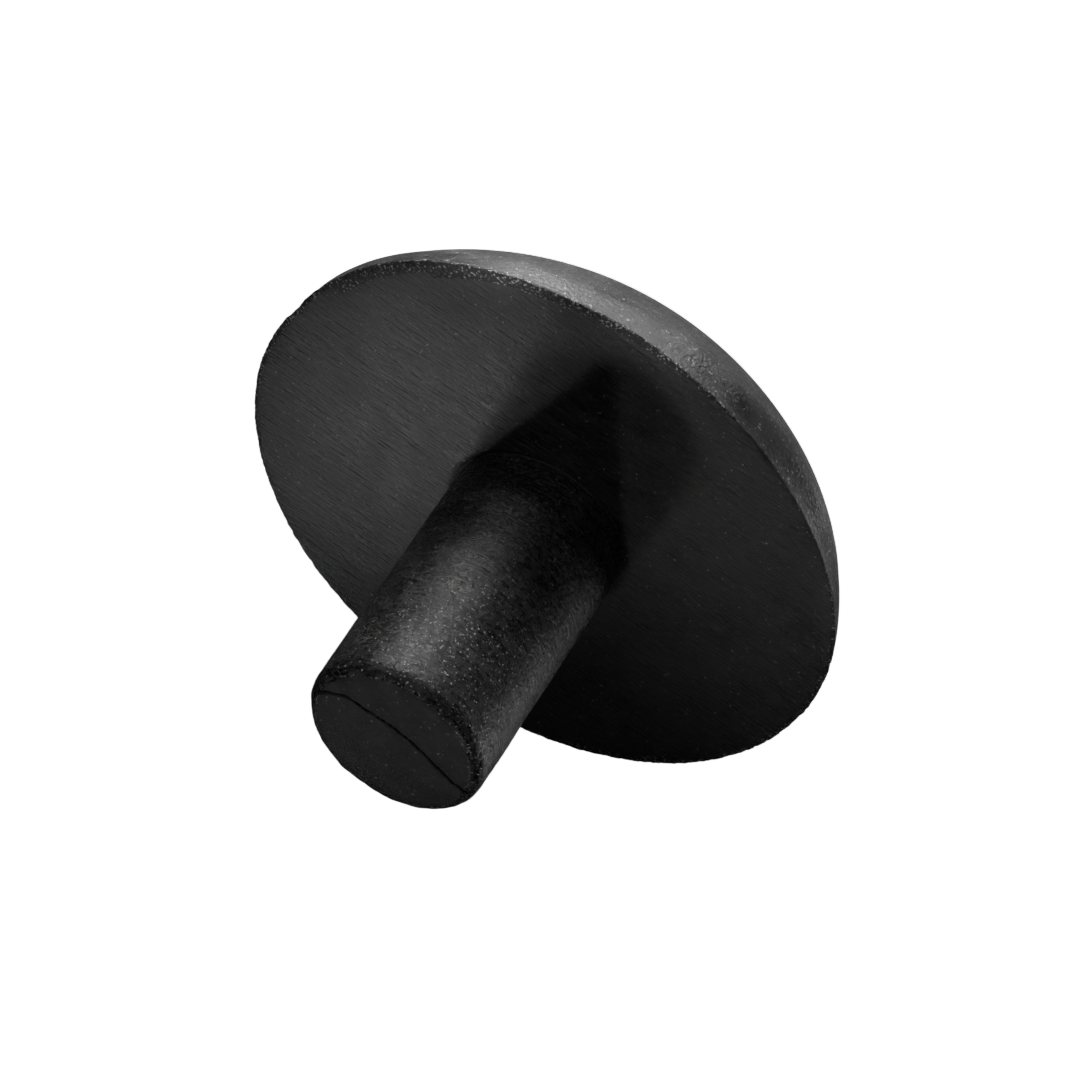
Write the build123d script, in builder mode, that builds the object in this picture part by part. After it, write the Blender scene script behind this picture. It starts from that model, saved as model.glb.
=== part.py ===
from build123d import *
import os

# A rubber sink plunger: a domed head that seats in the mouth of a drain, and a round stem to hold it by.
# It is modelled dome down, in millimetres. The origin is the lowest point of the dome, on the plunger's axis,
# and +Z runs up the stem. Every piece is a solid of revolution about Z.

# Head
head_diameter = 50.0
head_height = 15.8
foot_diameter = 5.0  # the patch that the dome stands on, pressed flat
edge_height = 1.75  # the steeper band between the dome and the back face
edge_draft = 0.4  # how far that band leans in, down to the dome
edge_blend = 4.0
rim_width = 0.4  # the rim was trimmed by hand, which left a narrow bevel
rim_depth = 0.15

# Stem: a grip that stands on the head, level with its back face, and a thinner tenon that goes on down
grip_diameter = 14.6
grip_reach = 24.0  # from the back face to the end
grip_rounding = 1.3
tenon_diameter = 11.0
tenon_length = 7.5
tenon_chamfer = 0.6

# Cured cement: it fills a shallow seat under the grip and the socket below it, all round the tenon
cement_thickness = 0.1

# Worked out from the above
head_radius = head_diameter / 2
foot_radius = foot_diameter / 2
grip_radius = grip_diameter / 2
tenon_radius = tenon_diameter / 2
seat_radius = grip_radius + cement_thickness
socket_radius = tenon_radius + cement_thickness
back_face = head_height
seat_floor = back_face - cement_thickness
tenon_end = back_face - tenon_length
socket_floor = tenon_end - cement_thickness

# Head: the dome is part of a ball whose centre is on the axis, and the stem's hole goes in from the back face
dome_foot = (foot_radius, 0)
dome_edge = (head_radius - edge_draft, back_face - edge_height)
rim_outside = (head_radius, back_face - rim_depth)
rim_inside = (head_radius - rim_width, back_face)
ball_centre = (dome_edge[0] ** 2 + dome_edge[1] ** 2 - foot_radius**2) / (2 * dome_edge[1])
ball_radius = (foot_radius**2 + ball_centre**2) ** 0.5

with BuildPart() as dome_head:
    with BuildSketch(Plane.XZ) as head_section:
        with BuildLine():
            RadiusArc(dome_foot, dome_edge, -ball_radius)
            Polyline(dome_edge, rim_outside, rim_inside, (0, back_face), (0, 0), dome_foot)
        make_face()
        edge_corner = head_section.vertices().group_by(Axis.Y)[1]
        fillet(edge_corner, radius=edge_blend)
    revolve(axis=Axis.Z)
    with Locations((0, 0, back_face)):
        CounterBoreHole(
            radius=socket_radius,
            counter_bore_radius=seat_radius,
            counter_bore_depth=cement_thickness,
            depth=back_face - socket_floor,
        )
dome_head.part.label = "dome_head"

# Stem: the grip with its rounded end, and the tenon with a chamfer to lead it in
with BuildPart() as stem:
    with BuildSketch(Plane.XY.offset(back_face)):
        Circle(grip_radius)
    extrude(amount=grip_reach)
    fillet(stem.edges().group_by(Axis.Z)[-1], radius=grip_rounding)
    with BuildSketch(Plane.XY.offset(back_face)):
        Circle(tenon_radius)
    extrude(amount=-tenon_length)
    chamfer(stem.edges().group_by(Axis.Z)[0], length=tenon_chamfer)
stem.part.label = "stem"

# Cement: all the space between the stem and the head, a thin stepped cup that shows as a ring round the grip
with BuildPart() as cement_film:
    with BuildSketch(Plane.XY.offset(seat_floor)):
        Circle(seat_radius)
    extrude(amount=cement_thickness)
    with BuildSketch(Plane.XY.offset(socket_floor)):
        Circle(socket_radius)
    extrude(amount=seat_floor - socket_floor)
    add(stem.part, mode=Mode.SUBTRACT)
cement_film.part.label = "cement_film"

os.makedirs("parts", exist_ok=True)
export_step(dome_head.part, "parts/dome_head.step")
export_step(stem.part, "parts/stem.step")
export_step(cement_film.part, "parts/cement_film.step")
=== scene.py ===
from math import atan, cos, pi, radians, sin

import bmesh
import bpy
import numpy as np
from mathutils import Matrix, Vector


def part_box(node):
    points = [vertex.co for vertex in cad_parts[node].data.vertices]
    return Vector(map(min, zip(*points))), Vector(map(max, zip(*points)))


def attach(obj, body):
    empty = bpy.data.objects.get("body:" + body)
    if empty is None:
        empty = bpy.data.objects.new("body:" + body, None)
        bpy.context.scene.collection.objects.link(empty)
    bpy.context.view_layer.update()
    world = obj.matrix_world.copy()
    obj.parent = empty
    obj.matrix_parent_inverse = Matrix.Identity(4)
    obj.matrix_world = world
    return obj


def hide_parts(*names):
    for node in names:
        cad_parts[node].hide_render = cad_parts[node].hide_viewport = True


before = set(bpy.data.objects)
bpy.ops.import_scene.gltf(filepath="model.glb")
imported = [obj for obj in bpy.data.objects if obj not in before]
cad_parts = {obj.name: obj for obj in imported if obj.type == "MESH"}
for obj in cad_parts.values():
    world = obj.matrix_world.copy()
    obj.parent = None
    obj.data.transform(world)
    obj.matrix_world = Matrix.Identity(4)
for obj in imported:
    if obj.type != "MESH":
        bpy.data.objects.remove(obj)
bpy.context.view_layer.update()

# Lengths here are in millimetres, and each mesh is scaled to metres when it is made.
MM = 0.001
head_low, head_high = (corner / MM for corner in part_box("dome_head"))
stem_low, stem_high = (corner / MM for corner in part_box("stem"))
cement_low, cement_high = (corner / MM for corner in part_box("cement_film"))

HEAD_RADIUS = (head_high.y - head_low.y) / 2
BACK_FACE = head_high.z
GRIP_RADIUS = (stem_high.y - stem_low.y) / 2
GRIP_END = stem_high.z
TENON_END = stem_low.z
SEAT_RADIUS = (cement_high.y - cement_low.y) / 2
SOCKET_FLOOR = cement_low.z

# These are the CAD's own dimensions, which its boxes don't give.
FOOT_RADIUS = 2.5
EDGE_HEIGHT = 1.75
EDGE_DRAFT = 0.4
RIM_WIDTH = 0.4
RIM_DEPTH = 0.15
GRIP_ROUNDING = 1.3
TENON_RADIUS = 5.5
TENON_CHAMFER = 0.6
CEMENT = 0.1
LAND_START = HEAD_RADIUS - RIM_WIDTH
DOME_EDGE = (HEAD_RADIUS - EDGE_DRAFT, BACK_FACE - EDGE_HEIGHT)
BALL_CENTRE = (DOME_EDGE[0] ** 2 + DOME_EDGE[1] ** 2 - FOOT_RADIUS**2) / (2 * DOME_EDGE[1])
BALL_RADIUS = (FOOT_RADIUS**2 + BALL_CENTRE**2) ** 0.5


# ---------------------------------------------------------------- shapes

NOISE_TABLE = 256
WELD_DISTANCE = 0.012
SMALLEST_EDGE = 0.001


def value_noise(u, v, seed):
    """Smooth random heights from -1 to 1, with about one hill or hollow to each unit of u and v."""
    size = NOISE_TABLE
    table = np.random.default_rng(seed).uniform(-1, 1, (size, size))
    column, row = np.floor(u).astype(int), np.floor(v).astype(int)
    across, along = u - column, v - row
    across = across * across * (3 - 2 * across)
    along = along * along * (3 - 2 * along)
    here, there = column % size, (column + 1) % size
    near, far = row % size, (row + 1) % size
    first = table[here, near] * (1 - across) + table[there, near] * across
    second = table[here, far] * (1 - across) + table[there, far] * across
    return first * (1 - along) + second * along


def bumps(x, y, size, seed):
    """Smooth random heights from -1 to 1 over X and Y, whose hills are about size across."""
    return value_noise(x / size, y / size, seed)


def step_between(low, high, value):
    """0 below low, 1 above high, and a smooth rise between them."""
    t = np.clip((value - low) / (high - low), 0, 1)
    return t * t * (3 - 2 * t)


def hump(value, middle, half_width):
    """1 in the middle, falling smoothly to 0 at half_width either side of it."""
    away = np.clip(np.abs(value - middle) / half_width, 0, 1)
    return 0.5 + 0.5 * np.cos(pi * away)


def arc(centre, radius, start, end, count):
    """Points on a circle in the (radius, height) plane, from one angle to another, in degrees."""
    turn = np.radians(np.linspace(start, end, count))
    return np.stack([centre[0] + radius * np.cos(turn), centre[1] + radius * np.sin(turn)], 1)


def line(*corners, step):
    """Points about a step apart, along straight runs between corners in the (radius, height) plane."""
    runs = [np.array(corners[0], float)[None]]
    for start, end in zip(corners, corners[1:]):
        count = max(1, round(float(np.hypot(end[0] - start[0], end[1] - start[1]) / step)))
        share = np.linspace(0, 1, count + 1)[1:, None]
        runs.append(np.array(start) * (1 - share) + np.array(end) * share)
    return np.concatenate(runs)


def blended(start, corner, end, count):
    """A smooth curve from start to end that turns the corner between them."""
    t = np.linspace(0, 1, count)[:, None]
    start, corner, end = (np.array(point, float) for point in (start, corner, end))
    return start * (1 - t) ** 2 + 2 * corner * t * (1 - t) + end * t**2


def even_rows(count):
    """Rows from -1 to 1 whose ends are evenly spaced round a disc of radius 1."""
    return np.sin(np.linspace(-pi / 2, pi / 2, count))


def with_rows(rows, extra, gap):
    """The rows with extra ones put in, in place of those that they would crowd."""
    kept = [row for row in rows if np.abs(extra - row).min() > gap or abs(row) == 1]
    return np.sort(np.concatenate([kept, extra]))


def round_angles(rows):
    """Where the ends of the rows lie on the disc's edge, going once round it."""
    right = np.arcsin(np.clip(rows, -1, 1))
    left = (pi - right)[::-1]
    ends = [left[1:-1]] if abs(rows[0]) == 1 else [left]
    return np.concatenate([right, *ends])


def moved(points, out, up):
    """The points, moved by out away from the axis and by up along it."""
    x, y, z = points.T
    scale = 1 + out / np.maximum(np.hypot(x, y), 1)
    return np.stack([x * scale, y * scale, z + up], 1)


class Shell:
    """Collects the patches of one closed skin, which are then welded along their shared edges."""

    def __init__(self):
        self.points = []
        self.faces = []
        self.count = 0

    def patch(self, grid, wrap=False):
        """Adds a grid of points, of shape (rows, columns, 3), as four-sided faces."""
        rows, columns = grid.shape[:2]
        index = self.count + np.arange(rows * columns).reshape(rows, columns)
        if wrap:
            index = np.concatenate([index, index[:, :1]], 1)
        corners = (index[:-1, :-1], index[:-1, 1:], index[1:, 1:], index[1:, :-1])
        self.faces.append(np.stack([corner.ravel() for corner in corners], 1))
        self.points.append(grid.reshape(-1, 3))
        self.count += rows * columns

    def turned(self, profile, angles):
        """Adds the surface that a profile of (radius, height) points sweeps round Z."""
        radius, height = profile[:, 0][:, None], profile[:, 1][:, None]
        around = np.asarray(angles)[None]
        grid = np.stack([radius * np.cos(around), radius * np.sin(around), height + 0 * around], 2)
        self.patch(grid, wrap=True)

    def disc(self, profile, rows, columns, hole=0.0):
        """Adds a cap that is round about Z, made in straight rows along X.

        The profile runs from the middle to the edge. A row's place is a share of the cap's reach, which is
        measured along the profile, and a row stops at the hole if there is one.
        """
        length = np.concatenate([[0], np.cumsum(np.hypot(*np.diff(profile, axis=0).T))])
        edge = length[-1]
        share = np.linspace(0, 1, columns)[None]
        across = (np.asarray(rows) * edge)[:, None]
        outer = np.sqrt(np.clip(edge**2 - across**2, 0, None))
        inner = np.sqrt(np.clip(hole**2 - across**2, 0, None))
        for side in (-1, 1):
            along = side * (inner + (outer - inner) * share)
            reach = np.hypot(along, across)
            radius = np.interp(reach, length, profile[:, 0])
            height = np.interp(reach, length, profile[:, 1])
            scale = radius / np.maximum(reach, 1e-9)
            self.patch(np.stack([along * scale, (across + 0 * along) * scale, height], 2))

    def mesh(self, name, sculpt=None):
        """Welds the patches, moves the points as sculpt says, and makes the object, in metres."""
        made = bmesh.new()
        for point in np.concatenate(self.points):
            made.verts.new(point)
        made.verts.ensure_lookup_table()
        for corners in np.concatenate(self.faces).tolist():
            made.faces.new([made.verts[i] for i in corners])
        bmesh.ops.remove_doubles(made, verts=made.verts, dist=WELD_DISTANCE)
        bmesh.ops.dissolve_degenerate(made, edges=made.edges, dist=SMALLEST_EDGE)
        bmesh.ops.recalc_face_normals(made, faces=made.faces)
        data = bpy.data.meshes.new(name)
        made.to_mesh(data)
        made.free()
        points = np.empty(len(data.vertices) * 3)
        data.vertices.foreach_get("co", points)
        points = points.reshape(-1, 3)
        if sculpt:
            points = sculpt(points)
        data.vertices.foreach_set("co", (points * MM).ravel())
        data.polygons.foreach_set("use_smooth", [True] * len(data.polygons))
        data.update()
        piece = bpy.data.objects.new(name, data)
        bpy.context.scene.collection.objects.link(piece)
        return piece


# ---------------------------------------------------------------- head

HEAD_ROWS = 540
SEAT_ROWS = 90
HEAD_ROW_GAP = 0.0018
FACE_COLUMNS = 30
DOME_COLUMNS = 28
BALL_STEPS = 90
BAND_STEPS = 12
BAND_TURN = 1.5  # degrees of the ball that the blend into the edge band takes up
LAND_STEP = 0.1


def make_head():
    """The domed head: milled back face, trimmed rim, moulded dome, and the stem's seat and socket."""
    hole_share = SEAT_RADIUS / LAND_START
    rows = with_rows(even_rows(HEAD_ROWS), even_rows(SEAT_ROWS) * hole_share, gap=HEAD_ROW_GAP)
    rim_angles = round_angles(rows)
    hole_rows = rows[np.abs(rows) <= hole_share + 1e-9] / hole_share
    hole_angles = round_angles(hole_rows)

    ball_edge = np.degrees(np.arctan2(DOME_EDGE[1] - BALL_CENTRE, DOME_EDGE[0]))
    ball_foot = np.degrees(np.arctan2(-BALL_CENTRE, FOOT_RADIUS))
    ball = arc((0, BALL_CENTRE), BALL_RADIUS, ball_edge - BAND_TURN, ball_foot, BALL_STEPS)
    rim = (HEAD_RADIUS, BACK_FACE - RIM_DEPTH)
    band = blended(rim, DOME_EDGE, tuple(ball[0]), BAND_STEPS)

    shell = Shell()
    face = line((0, BACK_FACE), (LAND_START, BACK_FACE), step=1)
    shell.disc(face, rows, FACE_COLUMNS, hole=SEAT_RADIUS)
    shell.turned(line((LAND_START, BACK_FACE), rim, step=LAND_STEP), rim_angles)
    shell.turned(band, rim_angles)
    dome = np.concatenate([[(0, 0)], ball[::-1]])
    shell.disc(dome, rows, DOME_COLUMNS)
    socket_radius = TENON_RADIUS + CEMENT
    socket = line(
        (SEAT_RADIUS, BACK_FACE),
        (SEAT_RADIUS, BACK_FACE - CEMENT),
        (socket_radius, BACK_FACE - CEMENT),
        (socket_radius, SOCKET_FLOOR),
        (0, SOCKET_FLOOR),
        step=2,
    )
    shell.turned(socket, hole_angles)
    return shell.mesh("dome_head_rubber", sculpt_head)


# Where the rim was trimmed by hand: the middle and half width of the cut in degrees, and its depth.
RIM_CUTS = [
    (-45, 42, -0.8),
    (-80, 22, -0.2),
    (-126, 45, 0.52),
    (38, 45, 0.24),
    (138, 42, -0.28),
    (-167, 0.9, 0.25),
    (-13, 6, 0.15),
]
RIM_WAVE = 0.04
RIM_JAGS = 0.03
CRUMB_HEIGHT = 0.035
MILLING_DEPTH = 0.014
SHOULDER = 0.55  # how far the dome's shoulder stands out past a true ball
FLAT_SHOULDER = (-160, 34)  # the middle and half width, in degrees, of the stretch where it doesn't


def sculpt_head(points):
    """Mills the back face along X, trims and roughens the rim, and fills the dome's shoulder."""
    x, y, z = points.T
    radius = np.hypot(x, y)
    angle = np.degrees(np.arctan2(y, x))

    milled = (np.abs(z - BACK_FACE) < 0.001) * (radius < LAND_START + 0.01)
    milled = milled * step_between(SEAT_RADIUS, SEAT_RADIUS + 0.3, radius)
    lines = value_noise(x / 5, y / 0.34, 14) + 0.7 * value_noise(x / 2.4, y / 0.3, 15)
    up = -MILLING_DEPTH * milled * np.clip(lines, -0.2, 1.5)

    rim = step_between(HEAD_RADIUS - 2.5, LAND_START, radius)
    rim = rim * step_between(BACK_FACE - 2 * EDGE_HEIGHT, BACK_FACE - 0.5, z)
    edge = step_between(LAND_START - 0.1, LAND_START, radius)
    edge = edge * step_between(BACK_FACE - 0.7, BACK_FACE - 0.2, z)
    out = RIM_WAVE * rim * bumps(x, y, 2.2, 11)
    out += edge * (RIM_JAGS * bumps(x, y, 0.55, 12) + RIM_JAGS * bumps(x, y, 0.24, 13))
    for middle, half_width, cut in RIM_CUTS:
        out -= cut * rim * hump(angle, middle, half_width)
    up += CRUMB_HEIGHT * edge * (bumps(x, y, 0.4, 16) + 0.6 * bumps(x, y, 0.2, 17))

    fuller = SHOULDER * step_between(8, 16, radius)
    fuller = fuller * step_between(BACK_FACE - 0.6, BACK_FACE - 3.2, z)
    fuller = fuller * (1 - hump(angle, *FLAT_SHOULDER))
    out += fuller * radius / BALL_RADIUS
    up += fuller * (z - BALL_CENTRE) / BALL_RADIUS
    return moved(points, out, up)


# ---------------------------------------------------------------- stem

GRIP_ROWS = 150
GRIP_ROW_GAP = 0.004
CREASE_ROWS = np.arange(-1.95, 1.1, 0.06)  # closer rows where the crease runs, in Y
CAP_COLUMNS = 50
CAP_ROUND_STEPS = 16
RING_STEP = 0.14


def make_stem():
    """The stem: its grip with a rounded end and a crease across it, and the tenon inside the head."""
    flat = GRIP_RADIUS - GRIP_ROUNDING
    corner = (flat, GRIP_END - GRIP_ROUNDING)
    cap = np.concatenate([[(0, GRIP_END)], arc(corner, GRIP_ROUNDING, 90, 0, CAP_ROUND_STEPS)])
    cap_reach = flat + GRIP_ROUNDING * pi / 2
    rows = with_rows(even_rows(GRIP_ROWS), CREASE_ROWS / cap_reach, gap=GRIP_ROW_GAP)
    angles = round_angles(rows)

    shell = Shell()
    shell.disc(cap, rows, CAP_COLUMNS)
    side = line((GRIP_RADIUS, GRIP_END - GRIP_ROUNDING), (GRIP_RADIUS, BACK_FACE), step=RING_STEP)
    shell.turned(side, angles)
    tenon = line(
        (GRIP_RADIUS, BACK_FACE),
        (TENON_RADIUS, BACK_FACE),
        (TENON_RADIUS, TENON_END + TENON_CHAMFER),
        (TENON_RADIUS - TENON_CHAMFER, TENON_END),
        (0, TENON_END),
        step=2,
    )
    shell.turned(tenon, angles)
    return shell.mesh("stem_rubber", sculpt_stem)


# The crease's course across the stem's end, in X and Y.
CREASE = [
    (-6.6, 0.05),
    (-5.1, -0.25),
    (-3.3, -0.8),
    (-1.5, -1.4),
    (0.3, -1.65),
    (2.9, -1.5),
    (4.8, -1.5),
    (6.0, -0.6),
    (7.0, 0.75),
]
CREASE_DEPTH = 0.5
CREASE_HALF_WIDTH = 0.09
RING_DEPTH = 0.009
GRIP_WAVE = 0.03
END_WAVE = 0.02
END_RISE = 0.25  # how far the cut end stands past its nominal height
END_SLANT = 0.2  # how far it rises and falls from that, across the end


def from_crease(x, y):
    """How far each point is from the middle of the crease, measured along Y."""
    crease_x, crease_y = np.array(CREASE).T
    wander = 0.06 * value_noise(x / 0.6, 0 * x, 23)
    return y - np.interp(x, crease_x, crease_y) - wander


def sculpt_stem(points):
    """Opens the crease, wears the end's edge, turns fine lines round the grip and slants its end."""
    x, y, z = points.T
    radius = np.hypot(x, y)
    on_end = step_between(GRIP_END - 1.3, GRIP_END - 0.9, z)
    away = from_crease(x, y) / CREASE_HALF_WIDTH
    strength = 0.75 + 0.25 * np.maximum(hump(x, 5.3, 1.5), hump(x, -3.0, 2.6))
    strength = strength * step_between(-7.3, -5.8, x)
    up = -CREASE_DEPTH * on_end * strength * np.exp(-(away**2))
    up += END_WAVE * on_end * step_between(6.3, 5.5, radius) * bumps(x, y, 1.6, 24)

    worn = on_end * step_between(5.4, 6.4, radius)
    out = worn * (0.07 * bumps(x, y, 1.3, 25) + 0.03 * bumps(x, y, 0.45, 26))
    up += worn * (0.05 * bumps(x, y, 1.1, 27) + 0.02 * bumps(x, y, 0.4, 28))

    grip = step_between(BACK_FACE + 0.2, BACK_FACE + 0.8, z) * (1 - on_end)
    grip = grip * (radius > GRIP_RADIUS - 0.1)
    rings = value_noise((x + 1.6 * y) / 4, z / 0.3, 29)
    rings += 0.6 * value_noise((1.4 * x - y) / 2, z / 0.3, 30)
    out += RING_DEPTH * grip * rings + GRIP_WAVE * grip * value_noise(x / 3 + y / 3, z / 3.5, 31)

    slant = (0.75 * y - 0.65 * x) / GRIP_RADIUS
    up += (END_RISE + END_SLANT * slant) * step_between(GRIP_END - 8, GRIP_END - 1, z)
    return moved(points, out, up)


# ---------------------------------------------------------------- cement

CEMENT_ANGLES = 360
BEAD_STEPS = 5
NOTCH_ANGLE = -2.0
CRUMB_ANGLE = 150.0


def make_cement():
    """The cured cement: a film in the seat and socket, and an uneven bead round the stem's foot."""
    angles = np.linspace(-pi, pi, CEMENT_ANGLES, endpoint=False)
    socket_radius = TENON_RADIUS + CEMENT
    outside = line(
        (0, SOCKET_FLOOR),
        (socket_radius, SOCKET_FLOOR),
        (socket_radius, BACK_FACE - CEMENT),
        (SEAT_RADIUS, BACK_FACE - CEMENT),
        (SEAT_RADIUS, BACK_FACE),
        step=3,
    )
    bead = arc((GRIP_RADIUS, BACK_FACE), SEAT_RADIUS - GRIP_RADIUS, 0, 90, BEAD_STEPS)[1:]
    inside = line(
        (GRIP_RADIUS, BACK_FACE),
        (TENON_RADIUS, BACK_FACE),
        (TENON_RADIUS, TENON_END + TENON_CHAMFER),
        (TENON_RADIUS - TENON_CHAMFER, TENON_END),
        (0, TENON_END),
        step=3,
    )
    shell = Shell()
    shell.turned(np.concatenate([outside, bead, inside]), angles)
    return shell.mesh("cement_film_rubber", sculpt_cement)


def sculpt_cement(points):
    """Makes the bead uneven, with a notch on one side and a crumb of cement on the other."""
    x, y, z = points.T
    radius = np.hypot(x, y)
    angle = np.degrees(np.arctan2(y, x))
    bead = (z > BACK_FACE - 0.01) * step_between(GRIP_RADIUS, SEAT_RADIUS, radius)
    uneven = 0.5 * bumps(x, y, 0.9, 32) + 0.5 * bumps(x, y, 0.3, 33)
    crumb = hump(angle, CRUMB_ANGLE, 2.5)
    notch = hump(angle, NOTCH_ANGLE, 1.6)
    up = bead * (0.03 + 0.05 * uneven + 0.12 * crumb - 0.14 * notch)
    out = bead * (0.06 * uneven + 0.35 * crumb - 0.05 * notch)
    return moved(points, out, up)


# ---------------------------------------------------------------- camera

CAMERA_TILT = 52.6  # between the line of sight and the stem
CAMERA_ROLL = 33.9
CAMERA_DISTANCE = 344.0
CAMERA_LENS = 149.2
SENSOR_WIDTH = 36
AIM_RIGHT = 0.16  # from the middle of the back face to the middle of the picture
AIM_UP = -1.07


def place_camera():
    """A long lens that looks down on the back face, rolled so that the stem points down and left."""
    tilt, roll = radians(CAMERA_TILT), radians(CAMERA_ROLL)
    back = Vector((0, -sin(tilt), cos(tilt)))
    level_right, level_up = Vector((1, 0, 0)), Vector((0, cos(tilt), sin(tilt)))
    right = -cos(roll) * level_right - sin(roll) * level_up
    up = sin(roll) * level_right - cos(roll) * level_up
    aim = Vector((0, 0, BACK_FACE)) + right * AIM_RIGHT + up * AIM_UP
    data = bpy.data.cameras.new("camera")
    data.lens = CAMERA_LENS
    data.sensor_width = SENSOR_WIDTH
    data.clip_start = 0.01
    data.clip_end = 20
    camera = bpy.data.objects.new("camera", data)
    axes = Matrix((right, up, back)).transposed().to_4x4()
    camera.matrix_world = Matrix.Translation((aim + back * CAMERA_DISTANCE) * MM) @ axes
    bpy.context.scene.collection.objects.link(camera)
    bpy.context.scene.camera = camera


# ---------------------------------------------------------------- studio

FLOOR_SIZE = 4000
FLOOR_GLOW = 0.3
GLOW_REACH = (20, 32)  # full inside the first distance, none outside the second
WORLD_GLOW = 0.012
BOX_SIZE = 100
BOX_DISTANCE = 150
BOX_TARGET = (0, 0, 25)
FACE_SPOT_DISTANCE = 250
FACE_SPOT_REACH = 16
POOL_HEIGHT = 400  # how high the spots hang that make the pools of light on the floor
POOL_SPOT_WIDTH = 5

# Spots on the back face: azimuth, elevation, the point in X and Y that each is aimed at, width and power.
FACE_SPOTS = [
    (74, 38, (13, -8), 11, 0.38),
    (88, 38, (13, -8), 11, 0.38),
    (82, 38, (15, 9), 11, 0.44),
    (90, 62, (4, -26), 16, 0.6),
    (90, 62, (-14, -20), 16, 0.5),
    (118, 50, (0, -21), 26, 0.45),
    (120, 38, (-17, -17), 12, 0.2),
]

# Pools of light on the floor, which the stem and the dome reflect: azimuth, distance, reach and power.
FLOOR_POOLS = [
    (306, 100, 26, 150),
    (306, 55, 15, 215),
    (270, 38, 12, 60),
    (300, 38, 12, 75),
    (210, 38, 12, 20),
    (168, 100, 40, 60),
]


def seen_and_cast(tree, seen, cast):
    """A strength of seen where the camera looks, and of cast, a number or a socket, for other light."""
    path = tree.nodes.new("ShaderNodeLightPath")
    mix = tree.nodes.new("ShaderNodeMapRange")
    tree.links.new(path.outputs["Is Camera Ray"], mix.inputs["Value"])
    if isinstance(cast, bpy.types.NodeSocket):
        tree.links.new(cast, mix.inputs["To Min"])
    else:
        mix.inputs["To Min"].default_value = cast
    mix.inputs["To Max"].default_value = seen
    return mix.outputs["Result"]


def glow_near_dome(tree):
    """The floor's glow, which lies under the dome, so that it lights the dome's side and little else."""
    place = tree.nodes.new("ShaderNodeTexCoord")
    distance = tree.nodes.new("ShaderNodeVectorMath")
    distance.operation = "LENGTH"
    tree.links.new(place.outputs["Object"], distance.inputs[0])
    fade = tree.nodes.new("ShaderNodeMapRange")
    tree.links.new(distance.outputs["Value"], fade.inputs["Value"])
    fade.inputs["From Min"].default_value = GLOW_REACH[0] * MM
    fade.inputs["From Max"].default_value = GLOW_REACH[1] * MM
    fade.inputs["To Min"].default_value = FLOOR_GLOW
    fade.inputs["To Max"].default_value = 0.0
    return fade.outputs["Result"]


def make_floor():
    """A plain pale floor that the plunger stands on."""
    data = bpy.data.meshes.new("floor")
    reach = FLOOR_SIZE * MM
    corners = [(-reach, -reach, 0), (reach, -reach, 0), (reach, reach, 0), (-reach, reach, 0)]
    data.from_pydata(corners, [], [(0, 1, 2, 3)])
    floor = bpy.data.objects.new("floor", data)
    bpy.context.scene.collection.objects.link(floor)
    material = bpy.data.materials.new("floor")
    material.use_nodes = True
    shader = material.node_tree.nodes["Principled BSDF"]
    shader.inputs["Base Color"].default_value = (0.8, 0.8, 0.8, 1)
    shader.inputs["Emission Color"].default_value = (1, 1, 1, 1)
    tree = material.node_tree
    strength = seen_and_cast(tree, seen=1.0, cast=glow_near_dome(tree))
    tree.links.new(strength, shader.inputs["Emission Strength"])
    data.materials.append(material)


def light_world():
    """White all round to the eye, with only a little light from it."""
    world = bpy.data.worlds.new("studio")
    world.use_nodes = True
    background = world.node_tree.nodes["Background"]
    background.inputs["Color"].default_value = (1, 1, 1, 1)
    strength = seen_and_cast(world.node_tree, seen=1.0, cast=WORLD_GLOW)
    world.node_tree.links.new(strength, background.inputs["Strength"])
    bpy.context.scene.world = world


def hang(data, position, target):
    """Hangs a light, which the camera doesn't see, at a place given in millimetres, aimed at another."""
    light = bpy.data.objects.new(data.name, data)
    place = Vector(position)
    light.location = place * MM
    light.rotation_mode = "QUATERNION"
    light.rotation_quaternion = (Vector(target) - place).to_track_quat("-Z", "Y")
    light.visible_camera = False
    bpy.context.scene.collection.objects.link(light)


def around(azimuth, elevation, distance, centre):
    """A place at a distance from a centre. Azimuth 0 is on +X and azimuth 90 is on +Y."""
    turn, rise = radians(azimuth), radians(elevation)
    way = Vector((cos(turn) * cos(rise), sin(turn) * cos(rise), sin(rise)))
    return Vector(centre) + way * distance


def add_soft_box(name, azimuth, elevation, power):
    """A square soft box close to the plunger."""
    data = bpy.data.lights.new(name, "AREA")
    data.shape = "SQUARE"
    data.size = BOX_SIZE * MM
    data.energy = power
    hang(data, around(azimuth, elevation, BOX_DISTANCE, BOX_TARGET), BOX_TARGET)


def add_spot(name, position, target, reach, width, power):
    """A spot whose soft-edged cone lights a round patch, of radius reach, at its target."""
    data = bpy.data.lights.new(name, "SPOT")
    data.spot_size = 2 * atan(reach / (Vector(target) - Vector(position)).length)
    data.spot_blend = 1.0
    data.shadow_soft_size = width * MM
    data.energy = power
    hang(data, position, target)


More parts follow.
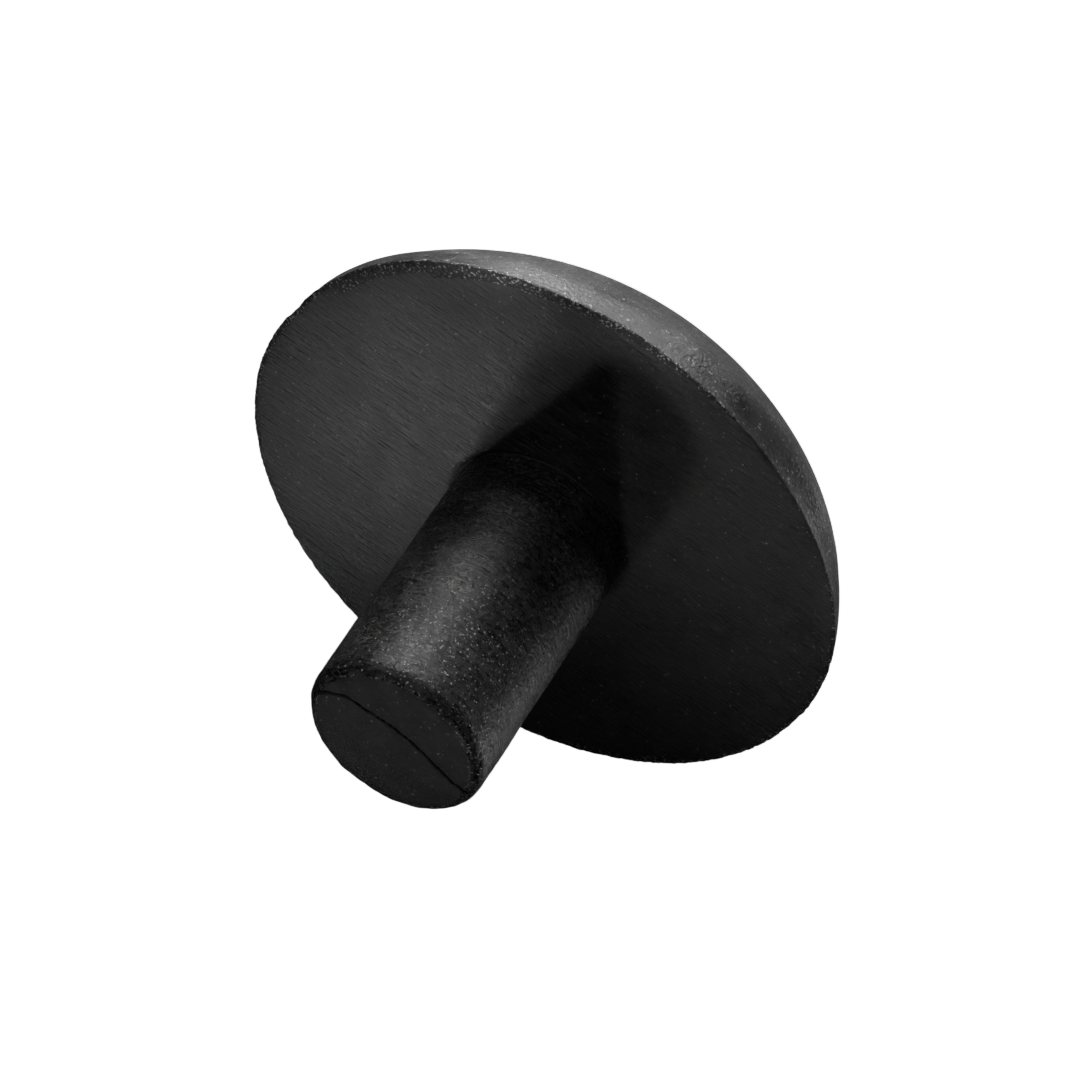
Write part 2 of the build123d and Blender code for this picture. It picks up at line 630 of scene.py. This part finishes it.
def light_studio():
    """Soft boxes in front, soft spots on the back face, and pools of light on the floor."""
    light_world()
    add_soft_box("box_right", azimuth=315, elevation=30, power=0.015)
    add_soft_box("box_front", azimuth=270, elevation=30, power=0.015)
    for index, (azimuth, elevation, aim, width, power) in enumerate(FACE_SPOTS):
        position = around(azimuth, elevation, FACE_SPOT_DISTANCE, (0, 0, BACK_FACE))
        add_spot(f"face_spot_{index}", position, (*aim, BACK_FACE), FACE_SPOT_REACH, width, power)
    for index, (azimuth, distance, reach, power) in enumerate(FLOOR_POOLS):
        target = around(azimuth, 0, distance, (0, 0, 0))
        position = target + Vector((0, 0, POOL_HEIGHT))
        add_spot(f"pool_{index}", position, target, reach, POOL_SPOT_WIDTH, power)


# ---------------------------------------------------------------- materials

class Rubber:
    """A black rubber, with short calls for the nodes that give it detail, in millimetres."""

    def __init__(self, name):
        self.material = bpy.data.materials.new(name)
        self.material.use_nodes = True
        self.tree = self.material.node_tree
        self.shader = self.tree.nodes["Principled BSDF"]
        self.place = self.tree.nodes.new("ShaderNodeTexCoord").outputs["Object"]

    def node(self, kind, inputs, **settings):
        """A new node, with its inputs either set or joined to another node's output."""
        made = self.tree.nodes.new(kind)
        for name, value in settings.items():
            setattr(made, name, value)
        for name, value in inputs.items():
            self.put(made.inputs[name], value)
        return made

    def put(self, socket, value):
        if isinstance(value, bpy.types.NodeSocket):
            self.tree.links.new(value, socket)
        else:
            socket.default_value = value

    def spread(self, size, turn=0.0):
        """Places on the object, scaled so that one unit of a pattern is size long in X, Y and Z."""
        scale = tuple(1 / (length * MM) for length in size)
        inputs = {"Vector": self.place, "Rotation": (0, 0, radians(turn)), "Scale": scale}
        return self.node("ShaderNodeMapping", inputs).outputs["Vector"]

    def noise(self, size, detail=2.0, turn=0.0):
        """Smooth noise from 0 to 1, whose hills are about size long in X, Y and Z."""
        inputs = {"Vector": self.spread(size, turn), "Scale": 1.0, "Detail": detail}
        return self.node("ShaderNodeTexNoise", inputs).outputs["Fac"]

    def ranged(self, value, low, high, to_low, to_high):
        """The value, mapped from the range low to high on to the range to_low to to_high."""
        inputs = {"Value": value, "From Min": low, "From Max": high, "To Min": to_low, "To Max": to_high}
        return self.node("ShaderNodeMapRange", inputs).outputs["Result"]

    def maths(self, operation, first, second):
        made = self.node("ShaderNodeMath", {}, operation=operation)
        self.put(made.inputs[0], first)
        self.put(made.inputs[1], second)
        return made.outputs[0]

    def specks(self, spacing, share, size, turn=0.0):
        """1 on specks and 0 between them.

        The given share of the cells hold a speck. The spacing is a cell's length in X, Y and Z, and size is
        the widest speck as a share of a cell.
        """
        cells = self.node("ShaderNodeTexVoronoi", {"Vector": self.spread(spacing, turn), "Scale": 1.0})
        parts = self.node("ShaderNodeSeparateColor", {"Color": cells.outputs["Color"]})
        chosen = self.maths("LESS_THAN", parts.outputs["Red"], share)
        edge = self.ranged(parts.outputs["Green"], 0.0, 1.0, 0.35 * size / 2, size / 2)
        inner = self.maths("MULTIPLY", edge, 0.5)
        spot = self.ranged(cells.outputs["Distance"], inner, edge, 1.0, 0.0)
        bright = self.ranged(parts.outputs["Blue"], 0.0, 1.0, 0.35, 1.0)
        return self.maths("MULTIPLY", self.maths("MULTIPLY", spot, bright), chosen)

    def flecks(self, size, start):
        """1 on ragged flecks of dust, which lie in drifts and are fewer as start rises."""
        drifts = self.ranged(self.noise((3, 3, 3)), 0.35, 0.6, 0.04, 0.0)
        height = self.maths("SUBTRACT", self.noise((size, size, size), detail=3), drifts)
        return self.ranged(height, start, start + 0.06, 0.0, 1.0)

    def relief(self, *layers):
        """Bumps, from pairs of a height pattern and the height that its range stands for."""
        normal = None
        for height, depth in layers:
            inputs = {"Height": height, "Distance": depth * MM, "Strength": 1.0}
            if normal is not None:
                inputs["Normal"] = normal
            normal = self.node("ShaderNodeBump", inputs).outputs["Normal"]
        self.put(self.shader.inputs["Normal"], normal)

    def paint(self, tone, roughness, *dusts):
        """Sets the tone and roughness, under pairs of a dust pattern and its tone."""
        for dust, dust_tone in dusts:
            more = self.maths("MULTIPLY", dust, dust_tone)
            tone = self.maths("ADD", tone, more)
        self.put(self.shader.inputs["Base Color"], tone)
        self.put(self.shader.inputs["Roughness"], roughness)


def milled_face():
    """The milled back face: uneven parallel lines along X, blotches, scratches and a little dust."""
    rubber = Rubber("head_rubber")
    lines = rubber.noise((2.6, 0.24, 3), detail=5, turn=1)
    fine = rubber.noise((1.2, 0.12, 3), detail=3, turn=-1.5)
    blotches = rubber.noise((3.2, 2.2, 3), detail=6)
    grain = rubber.noise((0.34, 0.24, 0.3), detail=4)
    scratches = rubber.specks((2.6, 0.5, 1), 0.4, 0.2, turn=-3)
    flecks = rubber.flecks(0.3, 0.66)
    dust = rubber.specks((0.6, 0.6, 0.6), 0.5, 0.34)
    worn = rubber.maths("ADD", rubber.maths("ADD", lines, blotches), grain)
    tone = rubber.ranged(worn, 1.25, 1.8, 0.0006, 0.03)
    rough = rubber.ranged(worn, 1.3, 1.75, 0.34, 0.6)
    rubber.relief((lines, 0.18), (fine, 0.08), (grain, 0.09), (dust, 0.04))
    rubber.paint(tone, rough, (dust, 0.5), (flecks, 0.12), (scratches, 0.12))
    return rubber.material


def trimmed_rim():
    """The rim's rough cut, full of pale crumbs."""
    rubber = Rubber("head_rim")
    crumbs = rubber.noise((0.3, 0.3, 0.3), detail=4)
    dust = rubber.flecks(0.22, 0.56)
    tone = rubber.ranged(crumbs, 0.5, 0.7, 0.001, 0.04)
    rubber.relief((crumbs, 0.25))
    rubber.paint(tone, rubber.ranged(crumbs, 0.3, 0.7, 0.5, 0.8), (dust, 0.3))
    return rubber.material


def moulded_dome():
    """The dome's moulded skin: satin, finely pitted, and dusty."""
    rubber = Rubber("head_skin")
    grain = rubber.noise((0.3, 0.3, 0.3), detail=4)
    clouds = rubber.noise((2.5, 2.5, 2.5), detail=5)
    dust = rubber.specks((0.5, 0.5, 0.5), 0.6, 0.4)
    flecks = rubber.flecks(0.32, 0.62)
    tone = rubber.ranged(clouds, 0.35, 0.65, 0.004, 0.03)
    rough = rubber.ranged(rubber.maths("ADD", grain, clouds), 0.8, 1.2, 0.34, 0.6)
    rubber.relief((grain, 0.12), (dust, 0.04))
    rubber.paint(tone, rough, (dust, 0.35), (flecks, 0.2))
    return rubber.material


def turned_grip():
    """The stem's side: fine lines round it, a rough grain, and dust that is thickest near the end."""
    rubber = Rubber("stem_rubber")
    rings = rubber.noise((1.2, 1.2, 0.18), detail=4)
    grain = rubber.noise((0.32, 0.32, 0.26), detail=4)
    clouds = rubber.noise((2.4, 2.4, 2.4), detail=5)
    dust = rubber.specks((0.45, 0.45, 0.45), 0.6, 0.4)
    flecks = rubber.flecks(0.2, 0.62)
    height = rubber.node("ShaderNodeSeparateXYZ", {"Vector": rubber.place}).outputs["Z"]
    near_end = rubber.ranged(height, (BACK_FACE + 6) * MM, (GRIP_END - 3) * MM, 0.2, 1.0)
    worn = rubber.maths("ADD", rubber.maths("ADD", rings, clouds), grain)
    tone = rubber.ranged(worn, 1.3, 1.85, 0.0005, 0.03)
    rough = rubber.ranged(rubber.maths("ADD", rings, grain), 0.85, 1.15, 0.15, 0.5)
    rubber.relief((rings, 0.08), (grain, 0.14), (dust, 0.04))
    dust, flecks = (rubber.maths("MULTIPLY", pattern, near_end) for pattern in (dust, flecks))
    rubber.paint(tone, rough, (dust, 0.7), (flecks, 0.45))
    return rubber.material


def stem_end():
    """The stem's end: smoother than its side, with few specks."""
    rubber = Rubber("stem_end")
    grain = rubber.noise((0.34, 0.34, 0.34), detail=4)
    clouds = rubber.noise((2, 2, 2), detail=5)
    dust = rubber.specks((0.7, 0.7, 0.7), 0.4, 0.34)
    flecks = rubber.flecks(0.34, 0.66)
    tone = rubber.ranged(rubber.maths("ADD", clouds, grain), 0.8, 1.25, 0.002, 0.024)
    rubber.relief((clouds, 0.1), (grain, 0.09), (dust, 0.04))
    rubber.paint(tone, rubber.ranged(grain, 0.35, 0.65, 0.5, 0.7), (dust, 0.45), (flecks, 0.12))
    rubber.shader.inputs["Specular IOR Level"].default_value = 0.28
    return rubber.material


def crease_painted_shade():
    """The rubber inside the crease: dull, and painted near-black, far darker than the rubber round it, as
    painted shade in the crease.
    """
    rubber = Rubber("stem_crease_painted_shade")
    grain = rubber.noise((0.1, 0.1, 0.1), detail=3)
    rubber.relief((grain, 0.05))
    # The tone, far darker than the rubber round it, is painted shade in the crease.
    tone = rubber.ranged(grain, 0.3, 0.7, 0.0005, 0.002)
    rubber.paint(tone, rubber.ranged(grain, 0.3, 0.7, 0.8, 1.0))
    rubber.shader.inputs["Specular IOR Level"].default_value = 0.05
    return rubber.material


def cured_cement():
    """The cement's bead, a little greyer than the rubber."""
    rubber = Rubber("cement")
    grain = rubber.noise((0.25, 0.25, 0.25), detail=3)
    tone = rubber.ranged(grain, 0.4, 0.65, 0.003, 0.035)
    rubber.relief((grain, 0.05))
    rubber.paint(tone, rubber.ranged(grain, 0.3, 0.7, 0.4, 0.65))
    return rubber.material


def dress(piece, materials, choose=None):
    """Gives the piece its materials. choose picks one for each face, from its middle."""
    for material in materials:
        piece.data.materials.append(material)
    if choose is None:
        return
    faces = piece.data.polygons
    middles = np.empty(len(faces) * 3)
    faces.foreach_get("center", middles)
    chosen = choose(middles.reshape(-1, 3) / MM)
    faces.foreach_set("material_index", chosen.astype(np.int32))


def choose_head(middles):
    """0 on the back face, 1 on the trimmed rim, and 2 on the dome."""
    x, y, z = middles.T
    on_rim = (z > BACK_FACE - RIM_DEPTH - 0.25) & (np.hypot(x, y) > LAND_START)
    return np.where(on_rim, 1, np.where(z > BACK_FACE - 0.05, 0, 2))


def choose_stem(middles):
    """0 round the grip, 1 on its flat end, and 2 inside the crease."""
    x, y, z = middles.T
    creased = np.abs(from_crease(x, y)) < 1.1 * CREASE_HALF_WIDTH
    creased = creased & (z > GRIP_END - 1.2) & (np.abs(x) < 6.7)
    end = (z > GRIP_END - 0.6) & (np.hypot(x, y) < GRIP_RADIUS - 0.9)
    return np.where(creased, 2, np.where(end, 1, 0))


place_camera()
make_floor()
light_studio()
bpy.context.scene.view_settings.view_transform = "Standard"

head = make_head()
stem = make_stem()
cement = make_cement()
dress(head, [milled_face(), trimmed_rim(), moulded_dome()], choose_head)
dress(stem, [turned_grip(), stem_end(), crease_painted_shade()], choose_stem)
dress(cement, [cured_cement()])
for piece, node, slot in (
    (head, "dome_head", "head_rubber"),
    (stem, "stem", "stem_rubber"),
    (cement, "cement_film", "cement"),
):
    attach(piece, "root")
    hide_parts(node)
